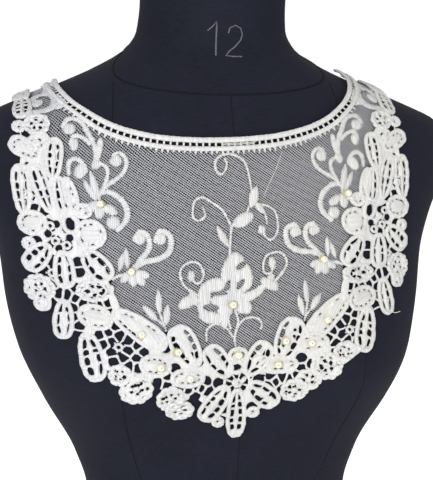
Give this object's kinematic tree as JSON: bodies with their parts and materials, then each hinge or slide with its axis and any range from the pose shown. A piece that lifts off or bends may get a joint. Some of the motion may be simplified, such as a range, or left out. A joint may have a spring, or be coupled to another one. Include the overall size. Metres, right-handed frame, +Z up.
{
  "type": "guipure lace yoke on a limbless dress form",
  "caption": "Scalloped lace yoke: a tulle panel with embroidered sprays inside a heavy guipure border, with a ladder neckline and sewn pearls, lying on a plain limbless dress form.",
  "frame": {"origin": "middle of the dress form's flat base, on its centre line", "axes": "+Z up the form, -Y to its chest, +X to the side that a viewer of the chest has on the right"},
  "size_m": [0.39, 0.2563, 0.655],
  "materials": {
    "form_jersey": "fine dark jersey with a soft sheen",
    "tulle": "fine white tulle",
    "guipure_cotton": "white guipure thread",
    "embroidery": "white satin stitch",
    "pearl": "cream nacre"
  },
  "bodies": {
    "root": {"dress_form": "form_jersey", "net_panel": "tulle", "guipure_border": "guipure_cotton", "neckline_heading": "guipure_cotton", "scroll_shoulder_left": "embroidery", "scroll_shoulder_right": "embroidery", "spray_upper_left": "embroidery", "spray_upper_right": "embroidery", "spray_lower_left": "embroidery", "spray_lower_right": "embroidery", "leaves_left": "embroidery", "leaves_right": "embroidery", "spray_centre": "embroidery", "pearl_01": "pearl", "pearl_02": "pearl", "pearl_03": "pearl", "pearl_04": "pearl", "pearl_05": "pearl", "pearl_06": "pearl", "pearl_07": "pearl", "pearl_08": "pearl", "pearl_09": "pearl", "pearl_10": "pearl", "pearl_11": "pearl", "pearl_12": "pearl", "pearl_13": "pearl", "pearl_14": "pearl"}
  },
  "joints": []
}
